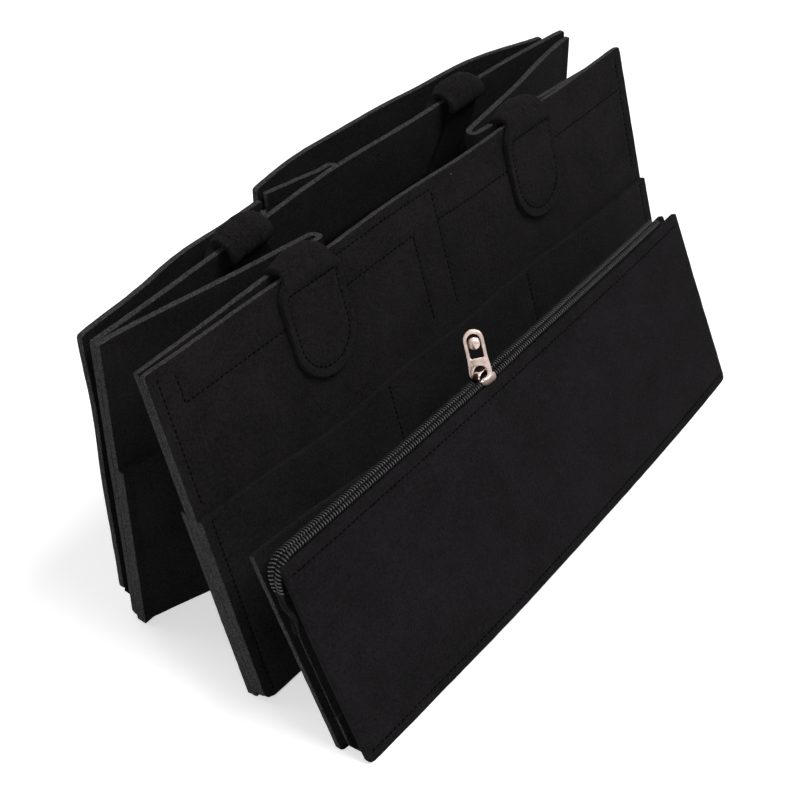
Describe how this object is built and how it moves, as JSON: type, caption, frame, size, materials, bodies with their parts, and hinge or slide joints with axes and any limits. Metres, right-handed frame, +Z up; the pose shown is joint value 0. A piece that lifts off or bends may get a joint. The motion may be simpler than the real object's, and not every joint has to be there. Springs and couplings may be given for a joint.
{
  "type": "diaper caddy",
  "caption": "Foldable black felt caddy with folded sides, sewn pockets, roll-topped strap handles and a loose zip pouch.",
  "frame": {"origin": "on the floor under the middle of the bounding box", "axes": "+X along the panels towards the end without the zip tail, +Y from the pouch towards the rear pockets, +Z up"},
  "size_m": [0.3916, 0.1906, 0.1919],
  "materials": {
    "felt": "matt black needled felt",
    "zip_tape": "black woven tape",
    "nylon": "black nylon coil",
    "rose_nickel": "pinkish nickel plate"
  },
  "bodies": {
    "rear": {"rear_panel": "felt", "rear_inner_pocket": "felt", "left_rear_seam": "felt", "right_rear_seam": "felt", "rear_left_handle_tab": "felt", "rear_right_handle_tab": "felt", "rear_handle_left_leg": "felt", "rear_handle_right_leg": "felt", "rear_left_pocket_bottom": "felt", "rear_left_pocket_left_gusset": "felt", "rear_left_pocket_right_gusset": "felt", "rear_right_pocket_bottom": "felt", "rear_right_pocket_left_gusset": "felt", "rear_right_pocket_right_gusset": "felt"},
    "left_rear": {"left_gusset_rear_half": "felt", "left_side_pocket_rear_half": "felt", "left_gusset_fold": "felt"},
    "left_front": {"left_gusset_front_half": "felt", "left_side_pocket_front_half": "felt"},
    "right_rear": {"right_gusset_rear_half": "felt", "right_side_pocket_rear_half": "felt", "right_gusset_fold": "felt"},
    "right_front": {"right_gusset_front_half": "felt", "right_side_pocket_front_half": "felt"},
    "front": {"front_panel": "felt", "front_outer_pocket": "felt", "front_inner_left_pocket": "felt", "front_inner_right_pocket": "felt", "left_front_seam": "felt", "right_front_seam": "felt", "front_left_handle_tab": "felt", "front_right_handle_tab": "felt", "front_handle_left_leg": "felt", "front_handle_right_leg": "felt"},
    "base_front": {"base_front_half": "felt"},
    "base_rear": {"base_rear_half": "felt"},
    "front_grip": {"front_handle_grip": "felt"},
    "rear_grip": {"rear_handle_grip": "felt"},
    "rear_left_pocket": {"rear_left_pocket_panel": "felt"},
    "rear_right_pocket": {"rear_right_pocket_panel": "felt"},
    "pouch": {"pouch_front_panel": "felt", "pouch_rear_panel": "felt", "pouch_bottom_strip": "felt", "pouch_left_gusset": "felt", "pouch_right_gusset": "felt", "zip_front_coil": "nylon", "zip_rear_coil": "nylon", "zip_front_tape": "zip_tape", "zip_rear_tape": "zip_tape", "zip_tail": "zip_tape"},
    "slider": {"zip_slider": "rose_nickel"},
    "pull_tab": {"zip_pull_tab": "rose_nickel"}
  },
  "joints": [
    {"name": "caddy_open", "type": "hinge", "parent": "rear", "child": "left_rear", "pos_m": [-0.17718, 0.05447, 0.09], "axis": [0, 0, -1], "range_deg": [0, 70], "deforming": ["left_gusset_fold"]},
    {"name": "left_side_fold", "type": "hinge", "parent": "left_rear", "child": "left_front", "pos_m": [-0.06168, 0.02475, 0.09], "axis": [0, 0, -1], "range_deg": [-140, 0], "deforming": ["left_gusset_fold"]},
    {"name": "left_front_corner", "type": "hinge", "parent": "left_front", "child": "front", "pos_m": [-0.18118, -0.00311, 0.09], "axis": [0, 0, -1], "range_deg": [0, 70]},
    {"name": "right_rear_corner", "type": "hinge", "parent": "rear", "child": "right_rear", "pos_m": [0.18882, 0.05447, 0.09], "axis": [0, 0, -1], "range_deg": [-70, 0], "deforming": ["right_gusset_fold"]},
    {"name": "right_side_fold", "type": "hinge", "parent": "right_rear", "child": "right_front", "pos_m": [0.06932, 0.02475, 0.09], "axis": [0, 0, -1], "range_deg": [0, 140], "deforming": ["right_gusset_fold"]},
    {"name": "base_front_fold", "type": "hinge", "parent": "front", "child": "base_front", "pos_m": [0.00182, -0.02234, 0.0018], "axis": [-1, 0, 0], "range_deg": [0, 73]},
    {"name": "base_rear_fold", "type": "hinge", "parent": "rear", "child": "base_rear", "pos_m": [0.00182, 0.06374, 0.0018], "axis": [1, 0, 0], "range_deg": [0, 73]},
    {"name": "front_handle_lift", "type": "slide", "parent": "front", "child": "front_grip", "axis": [0, 0.213, 0.977], "range_m": [0, 0.16], "deforming": ["front_handle_left_leg", "front_handle_right_leg"]},
    {"name": "rear_handle_lift", "type": "slide", "parent": "rear", "child": "rear_grip", "axis": [0, -0.1045, 0.9945], "range_m": [0, 0.16], "deforming": ["rear_handle_left_leg", "rear_handle_right_leg"]},
    {"name": "rear_left_pocket_open", "type": "hinge", "parent": "rear", "child": "rear_left_pocket", "pos_m": [-0.11418, 0.0864, 0.01392], "axis": [-1, 0, 0], "range_deg": [0, 14], "deforming": ["rear_left_pocket_left_gusset", "rear_left_pocket_right_gusset"]},
    {"name": "rear_right_pocket_open", "type": "hinge", "parent": "rear", "child": "rear_right_pocket", "pos_m": [0.07682, 0.08838, 0.01413], "axis": [-1, 0, 0], "range_deg": [0, 14], "deforming": ["rear_right_pocket_left_gusset", "rear_right_pocket_right_gusset"]},
    {"name": "pouch_take_out", "type": "slide", "parent": "front", "child": "pouch", "axis": [0, -1, 0], "range_m": [0, 0.1]},
    {"name": "zip_slide", "type": "slide", "parent": "pouch", "child": "slider", "axis": [0.9993, 0.0366, 0], "range_m": [-0.148, 0.162]},
    {"name": "pull_tab_flip", "type": "hinge", "parent": "slider", "child": "pull_tab", "pos_m": [-0.02862, -0.04496, 0.10772], "axis": [-0.4536, 0.8383, -0.3025], "range_deg": [-75, 75]}
  ],
  "couplings": [
    {"joint": "left_side_fold", "follows": "caddy_open", "ratio": -2},
    {"joint": "left_front_corner", "follows": "caddy_open", "ratio": 1},
    {"joint": "right_rear_corner", "follows": "caddy_open", "ratio": -1},
    {"joint": "right_side_fold", "follows": "caddy_open", "ratio": 2},
    {"joint": "base_front_fold", "follows": "caddy_open", "ratio": 1.0429},
    {"joint": "base_rear_fold", "follows": "caddy_open", "ratio": 1.0429}
  ]
}
